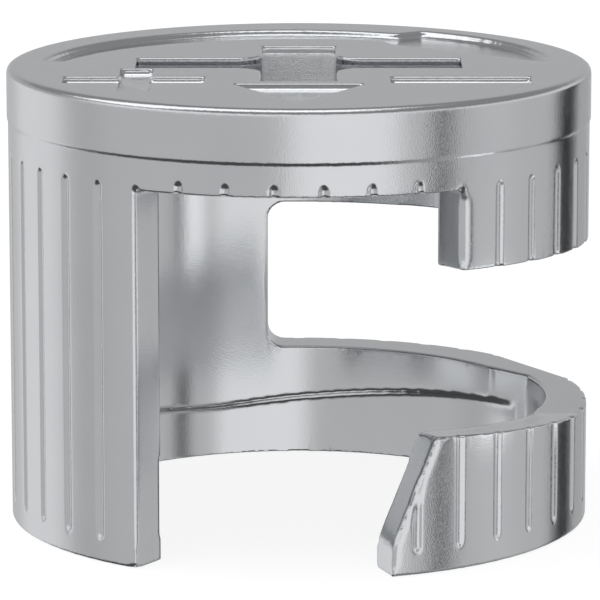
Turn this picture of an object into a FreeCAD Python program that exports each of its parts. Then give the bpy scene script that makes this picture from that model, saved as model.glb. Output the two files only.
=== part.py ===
import FreeCAD, Part
import math
import os

import Sketcher
from FreeCAD import Placement, Rotation, Vector

# Housing of a furniture cam lock fitting: one zinc die casting, a disc on a thin drum.
# The drum has a window at the front and a slot that runs round to the back, so that the
# lower part of its wall is a ring with a free, hooked end.
#
# Frame: millimetres, +Z up, the origin at the middle of the base on the drum's axis.
# The window looks along -Y. Angles are in degrees. A "side" angle is measured from -Y
# towards +X and a "polar" angle from +X towards +Y, both round the drum's axis.

SIZES = {
    # drum and rim
    "rim_diameter": 15.0,
    "rim_height": 1.28,
    "drum_diameter": 14.93,
    "total_height": 11.75,
    "rim_chamfer": 0.1,
    "base_chamfer": 0.06,
    # cavity under the disc, a little off the axis: its wall is the cam's track
    "disc_thickness": 2.2,
    "wall": 1.17,
    "cavity_shift_x": -0.038,
    "cavity_shift_y": -0.059,
    # relief below the track: two sloping runs that meet in a round knee
    "relief_depth": 0.15,
    "relief_knee_x": -2.35,
    "relief_knee_height": 1.34,
    "relief_left_slope": 5.0,
    "relief_right_slope": 5.6,
    "relief_knee_radius": 8.0,
    "relief_front_y": 1.2,
    # nose pocket in the ring's inner wall: a straight mouth, a facet and a round end
    "nose_mouth_polar": 45.0,
    "nose_mouth_inset": 0.09,
    "nose_flank_polar": 27.5,
    "nose_flank_depth": 0.12,
    "nose_centre_x": 0.35,
    "nose_centre_y": 0.5,
    "nose_radius_less": 0.22,
    "nose_first_angle": 19.6,
    "nose_last_angle": 26.0,
    # flat on the ring where the casting was fed
    "gate_flat_depth": 0.2,
    "gate_flat_polar": 31.0,
    # window and hook
    "window_side": 32.7,
    "hook_face_turn": 20.5,
    "toe_at_axis": -0.335,
    "toe_height": 0.77,
    "shoulder_at_axis": 1.49,
    "shoulder_height": 4.65,
    "stub_side_foot": 6.0,
    "toe_round": 1.5,
    # slot
    "slot_end_x": -0.85,
    "slot_end_round": 0.45,
    "slot_roof_height": 7.27,
    "slot_roof_slope": 2.55,
    "ring_height": 3.0,
    "ring_ramp_y": -2.0,
    "ring_ramp_slope": 5.5,
    # flutes
    "flute_count": 39,
    "front_flutes": 6,
    "flute_depth": 0.067,
    "flute_cutter_radius": 0.21,
    "flute_head_taper": 0.22,
    "flute_foot_taper": 0.3,
    "flute_foot": 0.4,
    "flute_gap": 0.67,
    "front_flute_gap": 0.48,
    # cross-shaped driver recess
    "driver_depth": 1.6,
    "driver_left": 4.17,
    "driver_right": 4.17,
    "driver_bar_front": -0.75,
    "driver_bar_back": 0.87,
    "driver_cross_half": 0.95,
    "driver_cross_front": -2.93,
    "driver_cross_back": 3.0,
    "driver_corner": 0.65,
    # marks sunk into the top
    "mark_depth": 0.17,
    "bar_front": -3.23,
    "bar_back": -2.25,
    "minus_left": 2.32,
    "minus_right": 5.84,
    "plus_left": -5.91,
    "plus_right": -2.38,
    "plus_stem_left": -4.52,
    "plus_stem_right": -3.71,
    "plus_stem_front": -4.5,
    "plus_stem_back": -0.95,
    "pointer_half_width": 1.64,
    "pointer_back": -3.4,
    "pointer_tip": -6.36,
    # curved arrow, from its tail on the left round the back to its tip on the right
    "arrow_tail_x": -6.56,
    "arrow_tail_y": 0.41,
    "arrow_tail_width": 0.45,
    "arrow_outer_radius": 6.354,
    "arrow_inner_radius": 6.7,
    "arrow_neck_outer_x": 2.61,
    "arrow_neck_outer_y": 5.27,
    "arrow_neck_inner_x": 2.2,
    "arrow_neck_inner_y": 4.05,
    "arrow_barb_outer_x": 3.34,
    "arrow_barb_outer_y": 5.71,
    "arrow_barb_inner_x": 2.5,
    "arrow_barb_inner_y": 3.38,
    "arrow_tip_x": 6.44,
    "arrow_tip_y": 0.30,
    "arrow_head_radius": 6.03,
}

# Sizes that several features share
RIM = "(Sizes.rim_diameter / 2)"
DRUM = "(Sizes.drum_diameter / 2)"
CAVITY = f"({DRUM} - Sizes.wall)"
RELIEF = f"({CAVITY} + Sizes.relief_depth)"
CEILING = "(Sizes.total_height - Sizes.disc_thickness)"
RIM_FOOT = "(Sizes.total_height - Sizes.rim_height)"

CLEAR = 1.0      # how far a core runs past the faces that it cuts through
TOUCH = 0.01     # how near to a surface or a line a point counts as on it

doc = FreeCAD.newDocument("cam_lock_fitting")
sheet = doc.addObject("Spreadsheet::Sheet", "Sizes")
for row, (name, value) in enumerate(SIZES.items(), start=1):
    sheet.set(f"A{row}", name)
    sheet.set(f"B{row}", str(value))
    sheet.setAlias(f"B{row}", name)
doc.recompute()


def size(text):
    """Value of an expression over the sheet's cells."""
    return float(sheet.evalExpression(text))


def plane_of(body, role):
    return next(item for item in body.Origin.OriginFeatures if item.Role == role)


def new_sketch(body, name, role, base=None):
    """Sketch parallel to an origin plane. base = how far it is moved along its own axes."""
    sketch = body.newObject("Sketcher::SketchObject", name)
    sketch.AttachmentSupport = (plane_of(body, role), [""])
    sketch.MapMode = "FlatFace"
    for axis, text in (base or {}).items():
        sketch.setExpression(f"AttachmentOffset.Base.{axis}", text)
    return sketch


def place_point(sketch, geometry, end, x_text, y_text):
    """Ties a sketch point to its two coordinates."""
    for kind, axis, text in (("DistanceX", -2, x_text), ("DistanceY", -1, y_text)):
        if text == "0":
            sketch.addConstraint(Sketcher.Constraint("PointOnObject", geometry, end, axis))
            continue
        index = sketch.addConstraint(Sketcher.Constraint(kind, -1, 1, geometry, end, size(text)))
        sketch.setExpression(f"Constraints[{index}]", text)


def bind_radius(sketch, geometry, text):
    index = sketch.addConstraint(Sketcher.Constraint("Radius", geometry, size(text)))
    sketch.setExpression(f"Constraints[{index}]", text)


def arc_between(start, stop, radius, left):
    """The shorter arc from start to stop that turns to the left, or to the right."""
    chord = stop - start
    side = Vector(-chord.y, chord.x, 0).normalize()
    reach = math.sqrt(radius**2 - (chord.Length / 2) ** 2)
    centre = start + chord * 0.5 + side * (reach if left else -reach)
    first = math.atan2(start.y - centre.y, start.x - centre.x)
    last = math.atan2(stop.y - centre.y, stop.x - centre.x)
    if not left:
        first, last = last, first
    return Part.ArcOfCircle(Part.Circle(centre, Vector(0, 0, 1), radius), first, last)


def draw_outline(sketch, points, arcs=None):
    """Closed outline. arcs[i] = (radius, turns left) bends the side that leaves point i."""
    arcs = arcs or {}
    base = sketch.GeometryCount
    spots = [Vector(size(x), size(y), 0) for x, y in points]
    ends = []
    for i, start in enumerate(spots):
        stop = spots[(i + 1) % len(spots)]
        radius, left = arcs.get(i, ("", True))
        if radius:
            sketch.addGeometry(arc_between(start, stop, size(radius), left))
        else:
            sketch.addGeometry(Part.LineSegment(start, stop))
        ends.append((1, 2) if left else (2, 1))
    for i, (x_text, y_text) in enumerate(points):
        before = (i - 1) % len(points)
        sketch.addConstraint(Sketcher.Constraint(
            "Coincident", base + before, ends[before][1], base + i, ends[i][0]
        ))
        place_point(sketch, base + i, ends[i][0], x_text, y_text)
    for i, (radius, _) in arcs.items():
        bind_radius(sketch, base + i, radius)


def polar(radius, angle):
    return (f"{radius} * cos({angle})", f"{radius} * sin({angle})")


def draw_box(sketch, left, right, front, back):
    draw_outline(sketch, [(left, front), (right, front), (right, back), (left, back)])


def draw_circle(sketch, x_text, y_text, radius):
    centre = Vector(size(x_text), size(y_text), 0)
    index = sketch.addGeometry(Part.Circle(centre, Vector(0, 0, 1), size(radius)))
    place_point(sketch, index, 3, x_text, y_text)
    bind_radius(sketch, index, radius)


def add_feature(body, kind, name, expressions=None, **settings):
    """Adds a feature, recomputes and refuses one that failed or changed nothing."""
    before = body.Shape.Volume if body.Tip else 0.0
    feature = body.newObject(kind, name)
    for key, value in settings.items():
        setattr(feature, key, value)
    for key, text in (expressions or {}).items():
        feature.setExpression(key, text)
    body.Tip = feature
    doc.recompute()
    check(feature)
    if abs(body.Shape.Volume - before) < 1e-7:
        raise RuntimeError(f"{name} changes nothing")
    return feature


def check(item):
    if "Invalid" in item.State or "Error" in item.State:
        raise RuntimeError(f"{item.Name} failed: {item.State}")


def cut_with(body, name, core):
    """Takes a core out of the body."""
    before = body.Shape.Volume
    boolean = body.newObject("PartDesign::Boolean", name)
    boolean.setObjects([core])
    boolean.Type = "Cut"
    doc.recompute()
    check(boolean)
    if body.Shape.Volume > before - 1e-7:
        raise RuntimeError(f"{name} cuts nothing")
    return boolean


def round_edges(body, name, test, radius):
    """Rounds the edges for which the test holds."""
    base = body.Tip
    names = [f"Edge{i}" for i, edge in enumerate(base.Shape.Edges, start=1) if test(edge)]
    if not names:
        raise RuntimeError(f"{name} finds no edge")
    return add_feature(body, "PartDesign::Fillet", name, {"Radius": radius}, Base=(base, names))


def points_of(edge):
    """Five points spread along an edge."""
    first, last = edge.ParameterRange
    return [edge.valueAt(first + (last - first) * share / 4) for share in range(5)]


def upright(edge):
    return max(edge.BoundBox.XLength, edge.BoundBox.YLength) < TOUCH


# The core that forms the window is an outline as the axis sees it, so that its side
# faces are radial. Its lower right corner leaves the hook standing, and the hook's end is
# drawn in a direction of its own.
def make_window_core():
    core = doc.addObject("PartDesign::Body", "window_core")
    sections = []
    for name, plane in (("window_inner", f"{CAVITY} / 3"), ("window_outer", f"({DRUM} * 1.4)")):
        left = f"-{plane} * tan(Sizes.window_side)"
        right = f"{plane} * tan(Sizes.window_side)"
        turn = f"{plane} * tan(Sizes.hook_face_turn)"
        toe = f"({turn} + Sizes.toe_at_axis)"
        shoulder = f"({turn} + Sizes.shoulder_at_axis)"
        sketch = new_sketch(core, name, "XZ_Plane", {"z": plane})
        draw_outline(sketch, [
            (left, f"-{CLEAR}"),
            (toe, f"-{CLEAR}"),
            (toe, "Sizes.toe_height"),
            (shoulder, "Sizes.shoulder_height"),
            (right, "Sizes.stub_side_foot"),
            (right, CEILING),
            (left, CEILING),
        ])
        sections.append(sketch)
    doc.recompute()
    add_feature(core, "PartDesign::AdditiveLoft", "window_loft",
                Profile=sections[0], Sections=[sections[1]], Ruled=True)
    level = size("Sizes.toe_height")

    def along_toe(edge):
        return (all(abs(p.z - level) < TOUCH for p in points_of(edge))
                and edge.BoundBox.YLength > size(CAVITY))

    round_edges(core, "toe_corner", along_toe, "Sizes.toe_round")
    return core


# The core that forms the slot is drawn from the side: its floor is the ring's top, which
# climbs towards the hook, and its roof has the casting's draft.
def make_slot_core():
    core = doc.addObject("PartDesign::Body", "slot_core")
    sketch = new_sketch(core, "slot_side", "YZ_Plane", {"z": "Sizes.slot_end_x"})
    reach = f"({RIM} + {CLEAR})"
    draw_outline(sketch, [
        (f"-{reach}", f"Sizes.ring_height + ({reach} + Sizes.ring_ramp_y) * tan(Sizes.ring_ramp_slope)"),
        ("Sizes.ring_ramp_y", "Sizes.ring_height"),
        (reach, "Sizes.ring_height"),
        (reach, f"Sizes.slot_roof_height - {reach} * tan(Sizes.slot_roof_slope)"),
        (f"-{reach}", f"Sizes.slot_roof_height + {reach} * tan(Sizes.slot_roof_slope)"),
    ])
    doc.recompute()
    add_feature(core, "PartDesign::Pad", "slot_pad",
                {"Length": f"{reach} - Sizes.slot_end_x"}, Profile=sketch)
    end_x = size("Sizes.slot_end_x")

    def along_end_face(edge):
        box = edge.BoundBox
        return max(abs(box.XMin - end_x), abs(box.XMax - end_x)) < TOUCH < box.YLength

    round_edges(core, "slot_end_corners", along_end_face, "Sizes.slot_end_round")
    return core


# The core that forms the relief is the back of a round plug. Its top follows two sloping runs.
def make_relief_core():
    core = doc.addObject("PartDesign::Body", "relief_core")
    plug = new_sketch(core, "relief_outline", "XY_Plane", {"z": f"-{CLEAR}"})
    half_chord = f"sqrt({RELIEF} ^ 2 - Sizes.relief_front_y ^ 2)"
    draw_outline(plug, [(half_chord, "Sizes.relief_front_y"), (f"-{half_chord}", "Sizes.relief_front_y")],
                 arcs={0: (RELIEF, True)})
    doc.recompute()
    add_feature(core, "PartDesign::Pad", "relief_plug",
                {"Length": f"Sizes.relief_knee_height + {RELIEF} + {CLEAR}"}, Profile=plug)
    reach = f"({RELIEF} + {CLEAR})"
    top = new_sketch(core, "relief_top", "XZ_Plane")
    left_rise = f"({reach} + Sizes.relief_knee_x) * tan(Sizes.relief_left_slope)"
    right_rise = f"({reach} - Sizes.relief_knee_x) * tan(Sizes.relief_right_slope)"
    half_turn = "tan((Sizes.relief_left_slope + Sizes.relief_right_slope) / 2)"
    run = f"Sizes.relief_knee_radius * {half_turn}"
    draw_outline(top, [
        (f"-{reach}", f"Sizes.relief_knee_height + {left_rise}"),
        (f"Sizes.relief_knee_x - {run} * cos(Sizes.relief_left_slope)",
         f"Sizes.relief_knee_height + {run} * sin(Sizes.relief_left_slope)"),
        (f"Sizes.relief_knee_x + {run} * cos(Sizes.relief_right_slope)",
         f"Sizes.relief_knee_height + {run} * sin(Sizes.relief_right_slope)"),
        (reach, f"Sizes.relief_knee_height + {right_rise}"),
        (reach, f"Sizes.relief_knee_height + 2 * {reach}"),
        (f"-{reach}", f"Sizes.relief_knee_height + 2 * {reach}"),
    ], arcs={1: ("Sizes.relief_knee_radius", True)})
    doc.recompute()
    add_feature(core, "PartDesign::Pocket", "relief_slopes", {"Length": f"2 * {reach}"},
                Profile=top, Midplane=True)
    return core


def make_drum(housing):
    """Solid drum with its rim, which stands proud of the wall by a narrow slope."""
    step = f"({RIM} - {DRUM})"
    section = new_sketch(housing, "drum_section", "XZ_Plane")
    draw_outline(section, [
        ("0", "0"),
        (f"{DRUM} - Sizes.base_chamfer", "0"),
        (DRUM, "Sizes.base_chamfer"),
        (DRUM, f"{RIM_FOOT} - {step}"),
        (RIM, RIM_FOOT),
        (RIM, "Sizes.total_height - Sizes.rim_chamfer"),
        (f"{RIM} - Sizes.rim_chamfer", "Sizes.total_height"),
        ("0", "Sizes.total_height"),
    ])
    doc.recompute()
    add_feature(housing, "PartDesign::Revolution", "drum", Profile=section,
                ReferenceAxis=(plane_of(housing, "Z_Axis"), [""]), Angle=360.0)


def make_cavity(housing):
    outline = new_sketch(housing, "cavity_outline", "XY_Plane")
    draw_circle(outline, "Sizes.cavity_shift_x", "Sizes.cavity_shift_y", CAVITY)
    doc.recompute()
    add_feature(housing, "PartDesign::Pocket", "cavity",
                {"Length": CEILING}, Profile=outline, Reversed=True)


def make_nose_pocket(housing):
    outline = new_sketch(housing, "nose_outline", "XY_Plane")
    radius = f"({CAVITY} - Sizes.nose_radius_less)"

    def on_end(angle):
        return (f"Sizes.nose_centre_x + {radius} * cos({angle})",
                f"Sizes.nose_centre_y + {radius} * sin({angle})")

    draw_outline(outline, [
        on_end("-Sizes.nose_last_angle"),
        on_end("Sizes.nose_first_angle"),
        polar(f"({CAVITY} + Sizes.nose_flank_depth)", "Sizes.nose_flank_polar"),
        polar(f"({CAVITY} - Sizes.nose_mouth_inset)", "Sizes.nose_mouth_polar"),
        (f"{CAVITY} / 2", "0"),
    ], arcs={0: (radius, True)})
    doc.recompute()
    add_feature(housing, "PartDesign::Pocket", "nose_pocket",
                {"Length": f"Sizes.ring_height + {CLEAR}"}, Profile=outline, Reversed=True)


def make_gate_flat(housing):
    outline = new_sketch(housing, "gate_outline", "XY_Plane")
    half = f"{DRUM} / 2"
    outer = f"({DRUM} + {CLEAR})"

    def at(distance, along):
        return (f"{distance} * cos(Sizes.gate_flat_polar) - {along} * sin(Sizes.gate_flat_polar)",
                f"{distance} * sin(Sizes.gate_flat_polar) + {along} * cos(Sizes.gate_flat_polar)")

    near = f"({DRUM} - Sizes.gate_flat_depth)"
    draw_outline(outline, [
        at(near, f"(-{half})"), at(outer, f"(-{half})"), at(outer, half), at(near, half),
    ])
    doc.recompute()
    add_feature(housing, "PartDesign::Pocket", "gate_flat",
                {"Length": f"Sizes.ring_height + {CLEAR}"}, Profile=outline, Reversed=True)


def make_flutes(housing, name, gap, first_side, count):
    """Flutes cut by a spindle beside the wall, which stop short of the rim by the gap."""
    head = f"({RIM_FOOT} - {gap})"
    distance = f"({DRUM} + Sizes.flute_cutter_radius - Sizes.flute_depth)"
    tip = "(Sizes.flute_cutter_radius - 2 * Sizes.flute_depth)"
    section = new_sketch(housing, f"{name}_section", "XZ_Plane", {
        "x": f"{distance} * sin({first_side})",
        "z": f"{distance} * cos({first_side})",
    })
    draw_outline(section, [
        ("0", "Sizes.flute_foot - Sizes.flute_foot_taper"),
        (tip, "Sizes.flute_foot - Sizes.flute_foot_taper"),
        ("Sizes.flute_cutter_radius", "Sizes.flute_foot + Sizes.flute_foot_taper"),
        ("Sizes.flute_cutter_radius", f"{head} - Sizes.flute_head_taper"),
        (tip, f"{head} + Sizes.flute_head_taper"),
        ("0", f"{head} + Sizes.flute_head_taper"),
    ])
    doc.recompute()
    groove = add_feature(housing, "PartDesign::Groove", name, Profile=section,
                         ReferenceAxis=(section, ["V_Axis"]), Angle=360.0)
    add_feature(housing, "PartDesign::PolarPattern", f"{name}_row",
                {"Angle": f"({count} - 1) * 360 / Sizes.flute_count", "Occurrences": count},
                Originals=[groove], Axis=(plane_of(housing, "Z_Axis"), [""]))


def sink(housing, name, depth, *outlines):
    """Pocket of some outlines in the top."""
    sketch = new_sketch(housing, f"{name}_outline", "XY_Plane", {"z": "Sizes.total_height"})
    for outline in outlines:
        outline(sketch)
    doc.recompute()
    return add_feature(housing, "PartDesign::Pocket", name, {"Length": depth}, Profile=sketch)


def make_driver_recess(housing):
    sink(housing, "driver_recess", "Sizes.driver_depth", draw_driver)

    def inner_corner(edge):
        across = abs(edge.CenterOfMass.x) - size("Sizes.driver_cross_half")
        inside = abs(edge.CenterOfMass.y) < size("Sizes.driver_bar_back") + TOUCH
        return upright(edge) and abs(across) < TOUCH and inside
    round_edges(housing, "driver_corners", inner_corner, "Sizes.driver_corner")


def draw_driver(sketch):
    left, right = "-Sizes.driver_left", "Sizes.driver_right"
    low, high = "Sizes.driver_bar_front", "Sizes.driver_bar_back"
    half = "Sizes.driver_cross_half"
    draw_outline(sketch, [
        (left, low), (f"-{half}", low), (f"-{half}", "Sizes.driver_cross_front"),
        (half, "Sizes.driver_cross_front"), (half, low), (right, low),
        (right, high), (half, high), (half, "Sizes.driver_cross_back"),
        (f"-{half}", "Sizes.driver_cross_back"), (f"-{half}", high), (left, high),
    ])


def draw_minus(sketch):
    draw_box(sketch, "Sizes.minus_left", "Sizes.minus_right", "Sizes.bar_front", "Sizes.bar_back")


def draw_plus(sketch):
    left, right = "Sizes.plus_left", "Sizes.plus_right"
    low, high = "Sizes.bar_front", "Sizes.bar_back"
    near, far = "Sizes.plus_stem_left", "Sizes.plus_stem_right"
    draw_outline(sketch, [
        (left, low), (near, low), (near, "Sizes.plus_stem_front"), (far, "Sizes.plus_stem_front"),
        (far, low), (right, low), (right, high), (far, high),
        (far, "Sizes.plus_stem_back"), (near, "Sizes.plus_stem_back"), (near, high), (left, high),
    ])


def draw_pointer(sketch):
    draw_outline(sketch, [
        ("0", "Sizes.pointer_tip"),
        ("Sizes.pointer_half_width", "Sizes.pointer_back"),
        ("-Sizes.pointer_half_width", "Sizes.pointer_back"),
    ])


def draw_arrow(sketch):
    draw_outline(sketch, [
        ("Sizes.arrow_tail_x", "Sizes.arrow_tail_y"),
        ("Sizes.arrow_neck_outer_x", "Sizes.arrow_neck_outer_y"),
        ("Sizes.arrow_barb_outer_x", "Sizes.arrow_barb_outer_y"),
        ("Sizes.arrow_tip_x", "Sizes.arrow_tip_y"),
        ("Sizes.arrow_barb_inner_x", "Sizes.arrow_barb_inner_y"),
        ("Sizes.arrow_neck_inner_x", "Sizes.arrow_neck_inner_y"),
        ("Sizes.arrow_tail_x + Sizes.arrow_tail_width", "Sizes.arrow_tail_y"),
    ], arcs={
        0: ("Sizes.arrow_outer_radius", False),
        2: ("Sizes.arrow_head_radius", False),
        5: ("Sizes.arrow_inner_radius", True),
    })


housing = doc.addObject("PartDesign::Body", "cam_housing")
make_drum(housing)
make_cavity(housing)
cut_with(housing, "relief", make_relief_core())
make_nose_pocket(housing)
make_gate_flat(housing)
cut_with(housing, "window", make_window_core())
cut_with(housing, "slot", make_slot_core())
pitch = "360 / Sizes.flute_count"
make_flutes(housing, "side_flutes", "Sizes.flute_gap",
            f"(Sizes.front_flutes + 1) / 2 * {pitch}", "Sizes.flute_count - Sizes.front_flutes")
make_flutes(housing, "front_flutes", "Sizes.front_flute_gap",
            f"(1 - Sizes.front_flutes) / 2 * {pitch}", "Sizes.front_flutes")
make_driver_recess(housing)
sink(housing, "marks", "Sizes.mark_depth", draw_minus, draw_plus, draw_pointer, draw_arrow)

housing.Label = "cam_housing"
doc.recompute()

for item in doc.Objects:
    check(item)

os.makedirs("parts", exist_ok=True)
for body in (housing,):
    shape = body.Shape
    if shape.isNull() or not shape.isValid():
        raise RuntimeError(f"{body.Label} has no valid shape")
    print(body.Label, "volume", round(shape.Volume, 3), "solids", len(shape.Solids))
    shape.exportStep(f"parts/{body.Label}.step")
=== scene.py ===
import math

import bpy
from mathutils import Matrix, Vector


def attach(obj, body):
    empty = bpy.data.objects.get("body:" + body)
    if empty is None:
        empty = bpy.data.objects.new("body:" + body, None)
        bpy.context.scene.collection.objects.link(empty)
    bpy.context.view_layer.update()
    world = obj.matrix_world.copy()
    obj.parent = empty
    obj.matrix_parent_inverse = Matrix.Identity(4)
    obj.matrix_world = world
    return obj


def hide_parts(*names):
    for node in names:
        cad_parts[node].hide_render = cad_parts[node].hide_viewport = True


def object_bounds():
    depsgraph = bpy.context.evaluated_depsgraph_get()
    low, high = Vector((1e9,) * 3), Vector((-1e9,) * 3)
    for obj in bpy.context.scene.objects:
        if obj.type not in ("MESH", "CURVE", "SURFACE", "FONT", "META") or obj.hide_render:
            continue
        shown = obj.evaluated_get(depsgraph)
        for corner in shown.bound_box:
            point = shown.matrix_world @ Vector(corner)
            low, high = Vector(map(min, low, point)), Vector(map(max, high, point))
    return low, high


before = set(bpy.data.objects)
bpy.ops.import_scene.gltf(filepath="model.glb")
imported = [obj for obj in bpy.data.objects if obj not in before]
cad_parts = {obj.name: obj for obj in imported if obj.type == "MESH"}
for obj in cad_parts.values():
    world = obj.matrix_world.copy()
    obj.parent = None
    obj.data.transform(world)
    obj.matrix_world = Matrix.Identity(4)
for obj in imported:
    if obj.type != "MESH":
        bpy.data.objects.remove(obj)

# The housing of a furniture cam lock fitting: one zinc die casting with worn edges, in a soft
# studio of broad boxes and dark flags.
#
# Places are in the object's own frame: X right, Y to the back, Z up, on the drum's axis.
# Lengths are in millimetres and angles in degrees, unless a name or comment says otherwise.
# MM turns millimetres into Blender's metres.
MM = 0.001
loaded_box = [list(corner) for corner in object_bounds()]

# Main sizes of the casting, from the loaded solid and the walls and recesses cut into it.
RIM_RADIUS = round(loaded_box[1][0] / MM, 3)
TOP = round(loaded_box[1][2] / MM, 3)
RIM_STANDS_PROUD = 0.035
RIM_HEIGHT = 1.28
WALL = 1.17
DISC_THICKNESS = 2.2
DRIVER_DEPTH = 1.6
RELIEF_DEPTH = 0.15
DRUM_RADIUS = RIM_RADIUS - RIM_STANDS_PROUD
RIM_FOOT = TOP - RIM_HEIGHT
TRACK_RADIUS = DRUM_RADIUS - WALL
TRACK_CENTRE = (-0.038, -0.059)
RELIEF_RADIUS = TRACK_RADIUS + RELIEF_DEPTH
CAVITY_ROOF = TOP - DISC_THICKNESS

# Remeshing and wear: the smallest detail kept, how strongly one pass smooths, the passes
# before and after the cylinders are trued up, and the most triangles at the end.
VOXEL = 0.045
WEAR = 0.5
FIRST_PASSES = 5
LAST_PASSES = 2
MOST_TRIANGLES = 190000

# A worn wall goes back on to its true cylinder wherever it is less than TRUED_WITHIN off it,
# and stays as it is beyond LEFT_BEYOND. The share between them fades in FADE_STEPS.
TRUED_WITHIN = 0.014
LEFT_BEYOND = 0.05
FADE_STEPS = 16
# The rim stays this much smaller than new. Under an inner corner a wall is left round for
# WORN_CORNER, and the relief's wall is trued up to a height of its own.
RIM_WEAR = 0.005
WORN_CORNER = 0.08
RELIEF_TRUED_TO = 2.2

# Upright edges of the front wall that are worn rounder, by how far right they stand. Each
# nested band round an edge has its width, its foot and top, and its smoothing passes. Above
# its toe, the hook's edge leans to the right by HOOK_LEAN for each millimetre.
WINDOW_EDGE_X = 4.03
LEFT_EDGE_BANDS = [(0.25, -0.3, 9.4, 12)]
STUB_EDGE_BANDS = [(0.42, 7.60, 9.50, 16), (0.38, 7.66, 9.42, 24), (0.34, 7.72, 9.34, 30)]
HOOK_EDGE_X = 2.32
HOOK_TOE_TOP = 0.77
HOOK_LEAN = 0.405
HOOK_EDGE_BANDS = [(0.34, 0.10, 3.50, 8), (0.28, 0.16, 3.42, 14), (0.22, 0.22, 3.34, 20)]

# Edges that run round the casting and are worn rounder. Those on the disc's top lie between
# DISC_EDGE_FOOT and DISC_EDGE_TOP, and the curved arrow's lie behind a front limit as well.
DISC_EDGE_FOOT = TOP - 0.3
DISC_EDGE_TOP = TOP + 0.5
RIM_EDGE = {"inner": 7.2, "outer": 8.0, "foot": DISC_EDGE_FOOT, "top": DISC_EDGE_TOP}
ARROW_EDGES = {"inner": 5.6, "outer": 7.15, "foot": DISC_EDGE_FOOT, "top": DISC_EDGE_TOP,
               "front": -0.2}
RELIEF_EDGE = {"inner": 6.0, "outer": 6.7, "foot": 0.6, "top": 2.7}
RIM_EDGE_PASSES = 12
ARROW_EDGE_PASSES = 10
RELIEF_EDGE_PASSES = 20

# The zinc: its two cloud tones, its polish and its grain. The grain's depth is in metres, and
# both scales count the waves in a metre.
ZINC_DARKER = (0.72, 0.73, 0.745, 1)
ZINC_PALER = (0.78, 0.785, 0.79, 1)
CLOUD_SCALE = 700
POLISH = 0.15
POLISH_CHANGE = 0.03
GRAIN_SCALE = 28000
GRAIN_DEPTH = 0.0000032

# The driver recess is rougher, and painted light makes it paler; the back walls of its arms carry
# painted shade. Each pair says where a look begins and where it is full: first in depth below
# the disc's top, then in distance from the axis, then in the upward share of the way that a wall
# faces. DRIVER_GRAIN and INSIDE_GRAIN are times the outside's grain.
DRIVER_PAINTED_LIGHT = (0.97, 0.975, 0.98, 1)
ARM_WALL_PAINTED_SHADE = (0.36, 0.37, 0.39, 1)
DRIVER_ROUGHNESS = 0.34
DRIVER_GRAIN = 16.0
PALE_DEPTHS = (0.05, 0.25)
ROUGH_DEPTHS = (0.18, 0.3)
ARM_SHADE_DEPTHS = (0.03, 0.10)
DRIVER_FOOT_DEPTHS = (DRIVER_DEPTH + 0.3, DRIVER_DEPTH + 0.1)
DRIVER_REACHES = (5.4, 4.9)
UPRIGHT = (0.7, 0.4)
# The painted shade on the arms' back walls: middle, half width and softness of the band that it
# lies in.
ARM_WALLS_ACROSS = (0.0, 4.4, 0.2)
ARM_WALLS_ALONG = (0.9, 0.6, 0.2)
# Inside the drum the mould was smoother than outside.
INSIDE_GRAIN = 0.5
INSIDE_REACHES = (6.75, 6.6)
INSIDE_DEPTHS = (DISC_THICKNESS - 0.2, DISC_THICKNESS)

# The studio round the casting. A turn is in degrees from the front, to the right positive.
# A rise is the upward share of a direction, from -1 straight down to 1 straight up.
# Each box or flag: middle, half width, softness of its edge, brightness.
STUDIO_LEVEL = 0.89
STUDIO_TINT = (0.99, 1.0, 1.015)
ROOM = 0.60
BOXES_AND_FLAGS = [
    (20, 24, 12, 1.00),
    (46, 6, 10, 0.62),
    (58, 3.5, 5, 0.10),
    (84, 10, 12, 0.66),
    (131, 9, 7, 0.03),
    (154, 8, 12, 0.46),
    (-92, 10, 16, 0.54),
    (-126, 20, 20, 0.88),
    (-168, 10, 20, 0.62),
]
# Above the horizon the left and front walls are white and the right one is less bright.
UPPER_ROOM = 0.51
UPPER_WALLS = [
    (-20, 70, 40, 1.00),
    (100, 45, 30, 0.80),
]
UPPER_RISES = (0.0, 0.12)
ROOF = 0.30
ROOF_RISES = (0.30, 0.42)
# A long box hangs overhead, from the left to past the middle.
OVERHEAD_BOX = 1.5
OVERHEAD_ALONG = (0.0, 0.36, 0.16)
OVERHEAD_ACROSS = (-0.3, 0.60, 0.25)
OVERHEAD_RISES = (0.45, 0.6)
# The table that the metal sees is dark, white at the back, grey far to the right, and pale
# straight below.
TABLE = 0.08
TABLE_RISES = (-0.36, -0.56)
BACK_TABLE = 0.95
BACK_SHARES = (0.5, 0.75)
RIGHT_TABLE = 0.4
RIGHT_SHARES = (0.40, 0.62)
TABLE_BELOW = 0.9
BELOW_RISES = (-0.90, -0.97)

# The floor, which the metal doesn't mirror, and the card beside the slot, which only the
# metal mirrors.
FLOOR_WIDTH = 2000
FLOOR_GREY = 0.30
FLOOR_ROUGHNESS = 0.9
FLOOR_GLOW = 0.86
CARD_PLACE = (12.75, -6.85, 3.5)
CARD_WIDTH = 3.4
CARD_HEIGHT = 4.2
CARD_LEVEL = 1.2

# The camera's place, its tilt down from the level, and its lens, by the width that its
# picture has in pixels and on the sensor.
FOCAL_PIXELS = 4700
PICTURE_PIXELS = 600
SENSOR_WIDTH = 36
CAMERA_PLACE = (0.03, -119.3354, 29.78)
CAMERA_TILT = 11.47634


def only(piece):
    """Select one piece and make it the active one."""
    bpy.ops.object.select_all(action="DESELECT")
    bpy.context.view_layer.objects.active = piece
    piece.select_set(True)


def resize_mesh(scale):
    """Scale the active piece's mesh about the origin, in edit mode."""
    bpy.ops.mesh.select_all(action="SELECT")
    bpy.ops.transform.resize(value=(scale,) * 3, center_override=(0, 0, 0))


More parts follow.
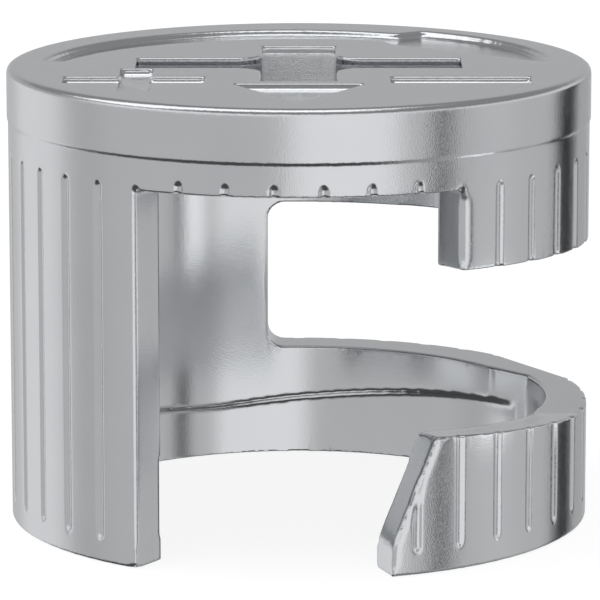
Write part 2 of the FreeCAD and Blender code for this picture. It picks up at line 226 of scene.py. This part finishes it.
def apply(piece, kind, **settings):
    """Give a piece a modifier with these settings, and apply it."""
    only(piece)
    modifier = piece.modifiers.new(kind.lower(), kind)
    for name, value in settings.items():
        setattr(modifier, name, value)
    bpy.ops.object.modifier_apply(modifier=modifier.name)


def copy_of_casting():
    """A merged copy of the CAD solid, in millimetres, without the solid's own properties."""
    only(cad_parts["cam_housing"])
    bpy.ops.object.duplicate()
    piece = bpy.context.object
    piece.name = "zinc_housing"
    piece.parent = None
    for key in list(piece.keys()):
        del piece[key]
    bpy.ops.mesh.customdata_custom_splitnormals_clear()
    bpy.ops.object.mode_set(mode="EDIT")
    bpy.ops.mesh.select_all(action="SELECT")
    bpy.ops.mesh.remove_doubles(threshold=1e-7)
    bpy.ops.mesh.dissolve_limited(angle_limit=math.radians(0.5))
    resize_mesh(1 / MM)
    bpy.ops.object.mode_set(mode="OBJECT")
    return piece


def true_up(piece, name, radius, centre=(0, 0), top=math.inf):
    """Draw a worn wall back on to its true cylinder, fading out where the wall ends."""
    group = piece.vertex_groups.new(name=name)
    steps = {}
    for vertex in piece.data.vertices:
        if vertex.co.z < top:
            reach = math.hypot(vertex.co.x - centre[0], vertex.co.y - centre[1])
            miss = abs(reach - radius)
            if miss < LEFT_BEYOND:
                share = min(1.0, (LEFT_BEYOND - miss) / (LEFT_BEYOND - TRUED_WITHIN))
                step = math.ceil(share * FADE_STEPS) / FADE_STEPS
                steps.setdefault(step, []).append(vertex.index)
    for step, indices in steps.items():
        group.add(indices, step * step * (3 - 2 * step), "REPLACE")
    axis = bpy.data.objects.new(name + "_axis", None)
    bpy.context.scene.collection.objects.link(axis)
    axis.location = (*centre, 0)
    bpy.context.view_layer.update()
    apply(piece, "CAST", cast_type="CYLINDER", factor=1, use_radius_as_size=False, size=radius,
          use_z=False, vertex_group=name, object=axis)
    bpy.data.objects.remove(axis)
    piece.vertex_groups.remove(piece.vertex_groups[name])


def by_upright_edge(edge_x, width, foot, top, lean=0.0, lean_from=0.0):
    """A test for points within a width of an upright edge on the drum's front. Above the
    height lean_from, the edge leans to the right by lean for each millimetre."""
    def inside(point):
        x = edge_x + lean * max(0.0, point.z - lean_from)
        edge = Vector((x, -math.sqrt(DRUM_RADIUS ** 2 - x ** 2)))
        return foot < point.z < top and (point.xy - edge).length < width
    return inside


def in_ring(inner, outer, foot, top, front=-math.inf):
    """A test for points in a ring-shaped band round the axis, behind the front given."""
    def inside(point):
        return inner < point.xy.length < outer and foot < point.z < top and point.y > front
    return inside


def worn_places():
    """The edges that are worn rounder than the rest: a test for a point, and its passes."""
    places = []
    for width, foot, top, passes in LEFT_EDGE_BANDS:
        places.append((by_upright_edge(-WINDOW_EDGE_X, width, foot, top), passes))
    for width, foot, top, passes in STUB_EDGE_BANDS:
        places.append((by_upright_edge(WINDOW_EDGE_X, width, foot, top), passes))
    for width, foot, top, passes in HOOK_EDGE_BANDS:
        near_hook = by_upright_edge(HOOK_EDGE_X, width, foot, top, HOOK_LEAN, HOOK_TOE_TOP)
        places.append((near_hook, passes))
    places.append((in_ring(**RIM_EDGE), RIM_EDGE_PASSES))
    places.append((in_ring(**ARROW_EDGES), ARROW_EDGE_PASSES))
    places.append((in_ring(**RELIEF_EDGE), RELIEF_EDGE_PASSES))
    return places


def wear_round(piece, places):
    """Smooth the points of each place. Every place is found before the first is smoothed."""
    only(piece)
    for number, (inside, passes) in enumerate(places):
        group = piece.vertex_groups.new(name=f"worn_{number}")
        points = [vertex.index for vertex in piece.data.vertices if inside(vertex.co)]
        group.add(points, 1, "REPLACE")
    bpy.ops.object.mode_set(mode="EDIT")
    bpy.ops.mesh.select_mode(type="VERT")
    for number, (_, passes) in enumerate(places):
        bpy.ops.mesh.select_all(action="DESELECT")
        piece.vertex_groups.active_index = number
        bpy.ops.object.vertex_group_select()
        bpy.ops.mesh.vertices_smooth(factor=WEAR, repeat=passes)
    bpy.ops.object.mode_set(mode="OBJECT")
    piece.vertex_groups.clear()


def build_housing():
    """The casting: the CAD solid remeshed, worn, trued up, and thinned to its last mesh."""
    piece = copy_of_casting()
    piece.data.remesh_voxel_size = VOXEL
    piece.data.use_remesh_preserve_volume = False
    only(piece)
    bpy.ops.object.voxel_remesh()
    apply(piece, "SMOOTH", factor=WEAR, iterations=FIRST_PASSES)
    true_up(piece, "rim", RIM_RADIUS - RIM_WEAR)
    true_up(piece, "drum", DRUM_RADIUS, top=RIM_FOOT - WORN_CORNER)
    true_up(piece, "track", TRACK_RADIUS, TRACK_CENTRE, top=CAVITY_ROOF - WORN_CORNER)
    true_up(piece, "relief", RELIEF_RADIUS, top=RELIEF_TRUED_TO)
    wear_round(piece, worn_places())
    apply(piece, "SMOOTH", factor=WEAR, iterations=LAST_PASSES)
    bpy.ops.object.mode_set(mode="EDIT")
    resize_mesh(MM)
    bpy.ops.object.mode_set(mode="OBJECT")
    bpy.ops.object.shade_smooth()
    bpy.ops.object.duplicate()
    fine = bpy.context.object
    # Each face of the remeshed casting is two triangles.
    triangles = 2 * len(piece.data.polygons)
    apply(piece, "DECIMATE", ratio=MOST_TRIANGLES / triangles)
    # The thinned surface keeps the way that the fine one faces, so that it shades as evenly.
    apply(piece, "DATA_TRANSFER", object=fine, use_loop_data=True,
          data_types_loops={"CUSTOM_NORMAL"}, loop_mapping="POLYINTERP_NEAREST")
    bpy.data.objects.remove(fine)
    return piece


def new_node(tree, kind, **inputs):
    """A node with its inputs set by name, where an underline stands for a space."""
    node = tree.nodes.new(kind)
    for name, value in inputs.items():
        node.inputs[name.replace("_", " ")].default_value = value
    return node


def connect(tree, value, socket):
    """Feed a socket from another node's output, or set it to a plain value."""
    if isinstance(value, bpy.types.NodeSocket):
        tree.links.new(value, socket)
    else:
        socket.default_value = value


def split(tree, vector):
    """The X, Y and Z of a vector."""
    node = new_node(tree, "ShaderNodeSeparateXYZ")
    connect(tree, vector, node.inputs[0])
    return node.outputs


def maths(tree, operation, *values):
    """One step of arithmetic on one or two values."""
    node = new_node(tree, "ShaderNodeMath")
    node.operation = operation
    for socket, value in zip(node.inputs, values):
        connect(tree, value, socket)
    return node.outputs[0]


def all_of(tree, *shares):
    """Shares from 0 to 1 multiplied together."""
    product = shares[0]
    for share in shares[1:]:
        product = maths(tree, "MULTIPLY", product, share)
    return product


def fade(tree, value, none, full):
    """A soft step: 0 where the value is at none, 1 where it is at full, and on past them."""
    node = new_node(tree, "ShaderNodeMapRange", From_Min=none, From_Max=full)
    node.interpolation_type = "SMOOTHSTEP"
    connect(tree, value, node.inputs["Value"])
    return node.outputs[0]


def band(tree, value, middle, half, soft):
    """1 within half a width of the middle and 0 outside it, with a soft edge."""
    away = maths(tree, "ABSOLUTE", maths(tree, "SUBTRACT", value, middle))
    return fade(tree, away, half + soft / 2, half - soft / 2)


def mixed(tree, share, first, second):
    """A colour between two, by a share from 0 to 1."""
    node = new_node(tree, "ShaderNodeMix")
    node.data_type = "RGBA"
    # Sockets 6 and 7 are the two colours, and output 2 is the mixed one.
    for number, value in ((0, share), (6, first), (7, second)):
        connect(tree, value, node.inputs[number])
    return node.outputs[2]


def blended(tree, share, first, second):
    """A number between two, by a share from 0 to 1."""
    node = new_node(tree, "ShaderNodeMix")
    for number, value in ((0, share), (2, first), (3, second)):
        connect(tree, value, node.inputs[number])
    return node.outputs[0]


def reach_fade(tree, reach, none, full):
    """A soft step in a distance given in millimetres."""
    return fade(tree, reach, none * MM, full * MM)


def depth_fade(tree, height, none, full):
    """A soft step in depth below the disc's top, in millimetres."""
    return fade(tree, height, (TOP - none) * MM, (TOP - full) * MM)


def length_band(tree, value, middle, half, soft):
    """A band whose place and width are in millimetres."""
    return band(tree, value, middle * MM, half * MM, soft * MM)


def build_zinc():
    """Bright die-cast zinc: faint clouds, fine orange-peel grain, rougher down in the driver, which
    painted light makes paler, with painted shade on the back walls of its arms.
    """
    finish = bpy.data.materials.new("bright_cast_zinc")
    finish.use_nodes = True
    tree = finish.node_tree
    metal = tree.nodes["Principled BSDF"]
    metal.inputs["Metallic"].default_value = 1
    place = new_node(tree, "ShaderNodeTexCoord")
    clouds = new_node(tree, "ShaderNodeTexNoise", Scale=CLOUD_SCALE, Detail=3)
    connect(tree, place.outputs["Object"], clouds.inputs["Vector"])
    tone = mixed(tree, clouds.outputs[0], ZINC_DARKER, ZINC_PALER)

    x, y, z = split(tree, place.outputs["Object"])
    reach_squared = maths(tree, "ADD", maths(tree, "MULTIPLY", x, x), maths(tree, "MULTIPLY", y, y))
    reach = maths(tree, "SQRT", reach_squared)
    above_floor = depth_fade(tree, z, *DRIVER_FOOT_DEPTHS)
    in_driver = all_of(tree, depth_fade(tree, z, *PALE_DEPTHS), above_floor,
                       reach_fade(tree, reach, *DRIVER_REACHES))
    deep_in_driver = all_of(tree, in_driver, depth_fade(tree, z, *ROUGH_DEPTHS))
    facing_up = split(tree, place.outputs["Normal"])["Z"]
    arm_wall_shade = all_of(tree, fade(tree, facing_up, *UPRIGHT),
                          depth_fade(tree, z, *ARM_SHADE_DEPTHS),
                          length_band(tree, x, *ARM_WALLS_ACROSS),
                          length_band(tree, y, *ARM_WALLS_ALONG), above_floor)
    # Painted light pales the driver recess, and painted shade darkens the back walls of its arms.
    colour = mixed(tree, arm_wall_shade, mixed(tree, in_driver, tone, DRIVER_PAINTED_LIGHT), ARM_WALL_PAINTED_SHADE)
    connect(tree, colour, metal.inputs["Base Color"])

    polish = blended(tree, clouds.outputs[0], POLISH - POLISH_CHANGE, POLISH + POLISH_CHANGE)
    roughness = blended(tree, deep_in_driver, polish, DRIVER_ROUGHNESS)
    connect(tree, roughness, metal.inputs["Roughness"])

    grain = new_node(tree, "ShaderNodeTexNoise", Scale=GRAIN_SCALE, Detail=1)
    connect(tree, place.outputs["Object"], grain.inputs["Vector"])
    inside = all_of(tree, reach_fade(tree, reach, *INSIDE_REACHES),
                    depth_fade(tree, z, *INSIDE_DEPTHS))
    strength = blended(tree, inside, 1.0, INSIDE_GRAIN)
    strength = blended(tree, deep_in_driver, strength, DRIVER_GRAIN)
    skin = new_node(tree, "ShaderNodeBump", Strength=1, Distance=GRAIN_DEPTH)
    connect(tree, maths(tree, "MULTIPLY", grain.outputs[0], strength), skin.inputs["Height"])
    connect(tree, skin.outputs[0], metal.inputs["Normal"])
    return finish


def grey(level):
    """A studio grey, at the level that this metal needs."""
    return (*(level * STUDIO_LEVEL * tint for tint in STUDIO_TINT), 1)


def build_studio():
    """The light, and all that the metal mirrors. The camera sees plain white there."""
    world = bpy.data.worlds.new("soft_studio")
    bpy.context.scene.world = world
    world.use_nodes = True
    tree = world.node_tree
    direction = new_node(tree, "ShaderNodeTexCoord")
    x, y, z = split(tree, direction.outputs["Generated"])
    to_front = maths(tree, "MULTIPLY", y, -1)
    turn = maths(tree, "DEGREES", maths(tree, "ARCTAN2", x, to_front))
    light = grey(ROOM)
    for middle, half, soft, level in BOXES_AND_FLAGS:
        light = mixed(tree, band(tree, turn, middle, half, soft), light, grey(level))
    upper = grey(UPPER_ROOM)
    for middle, half, soft, level in UPPER_WALLS:
        upper = mixed(tree, band(tree, turn, middle, half, soft), upper, grey(level))
    light = mixed(tree, fade(tree, z, *UPPER_RISES), light, upper)
    light = mixed(tree, fade(tree, z, *ROOF_RISES), light, grey(ROOF))
    overhead = all_of(tree, band(tree, y, *OVERHEAD_ALONG), band(tree, x, *OVERHEAD_ACROSS),
                      fade(tree, z, *OVERHEAD_RISES))
    light = mixed(tree, overhead, light, grey(OVERHEAD_BOX))
    table = mixed(tree, fade(tree, y, *BACK_SHARES), grey(TABLE), grey(BACK_TABLE))
    table = mixed(tree, fade(tree, x, *RIGHT_SHARES), table, grey(RIGHT_TABLE))
    light = mixed(tree, fade(tree, z, *TABLE_RISES), light, table)
    light = mixed(tree, fade(tree, z, *BELOW_RISES), light, grey(TABLE_BELOW))
    seen = new_node(tree, "ShaderNodeLightPath")
    light = mixed(tree, seen.outputs["Is Camera Ray"], light, (1, 1, 1, 1))
    connect(tree, light, tree.nodes["Background"].inputs["Color"])


def build_floor():
    """A pale floor that shows white to the camera and keeps the casting's soft shadow."""
    bpy.ops.object.select_all(action="DESELECT")
    bpy.ops.mesh.primitive_plane_add(size=FLOOR_WIDTH * MM, location=(0, 0, 0))
    floor = bpy.context.object
    floor.name = "pale_floor"
    floor.visible_glossy = False
    paint = bpy.data.materials.new("pale_floor_paint")
    paint.use_nodes = True
    tree = paint.node_tree
    surface = tree.nodes["Principled BSDF"]
    surface.inputs["Base Color"].default_value = (FLOOR_GREY, FLOOR_GREY, FLOOR_GREY, 1)
    surface.inputs["Roughness"].default_value = FLOOR_ROUGHNESS
    surface.inputs["Specular IOR Level"].default_value = 0
    glow = new_node(tree, "ShaderNodeEmission", Color=(1, 1, 1, 1), Strength=FLOOR_GLOW)
    glowing = new_node(tree, "ShaderNodeAddShader")
    connect(tree, surface.outputs[0], glowing.inputs[0])
    connect(tree, glow.outputs[0], glowing.inputs[1])
    seen = new_node(tree, "ShaderNodeLightPath")
    choice = new_node(tree, "ShaderNodeMixShader")
    for number, value in enumerate((seen.outputs["Is Camera Ray"], surface.outputs[0],
                                    glowing.outputs[0])):
        connect(tree, value, choice.inputs[number])
    connect(tree, choice.outputs[0], tree.nodes["Material Output"].inputs["Surface"])
    floor.data.materials.append(paint)


def build_card():
    """An upright white card beside the slot, which faces the casting. Only the metal sees it."""
    bpy.ops.object.select_all(action="DESELECT")
    bpy.ops.mesh.primitive_plane_add(size=1, location=(0, 0, 0))
    card = bpy.context.object
    card.name = "white_strip"
    x, y, z = CARD_PLACE
    card.scale = (CARD_WIDTH * MM, CARD_HEIGHT * MM, 1)
    card.rotation_euler = (math.pi / 2, 0, math.atan2(x, -y))
    card.location = (x * MM, y * MM, z * MM)
    card.visible_camera = False
    card.visible_diffuse = False
    card.visible_shadow = False
    paint = bpy.data.materials.new("white_strip")
    paint.use_nodes = True
    tree = paint.node_tree
    glow = new_node(tree, "ShaderNodeEmission", Color=grey(1), Strength=CARD_LEVEL)
    connect(tree, glow.outputs[0], tree.nodes["Material Output"].inputs["Surface"])
    card.data.materials.append(paint)


def build_camera():
    """A camera in front of the casting that looks to the back and a little down."""
    camera = bpy.data.cameras.new("camera")
    stand = bpy.data.objects.new("camera", camera)
    bpy.context.scene.collection.objects.link(stand)
    camera.lens = FOCAL_PIXELS / PICTURE_PIXELS * SENSOR_WIDTH
    camera.clip_start = 0.01
    camera.clip_end = 10
    stand.location = [length * MM for length in CAMERA_PLACE]
    stand.rotation_euler = (math.radians(90 - CAMERA_TILT), 0, 0)
    bpy.context.scene.camera = stand


housing = build_housing()
housing.data.materials.clear()
housing.data.materials.append(build_zinc())
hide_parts("cam_housing")
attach(housing, "root")
build_studio()
build_floor()
build_camera()
build_card()
bpy.context.scene.view_settings.view_transform = "Standard"
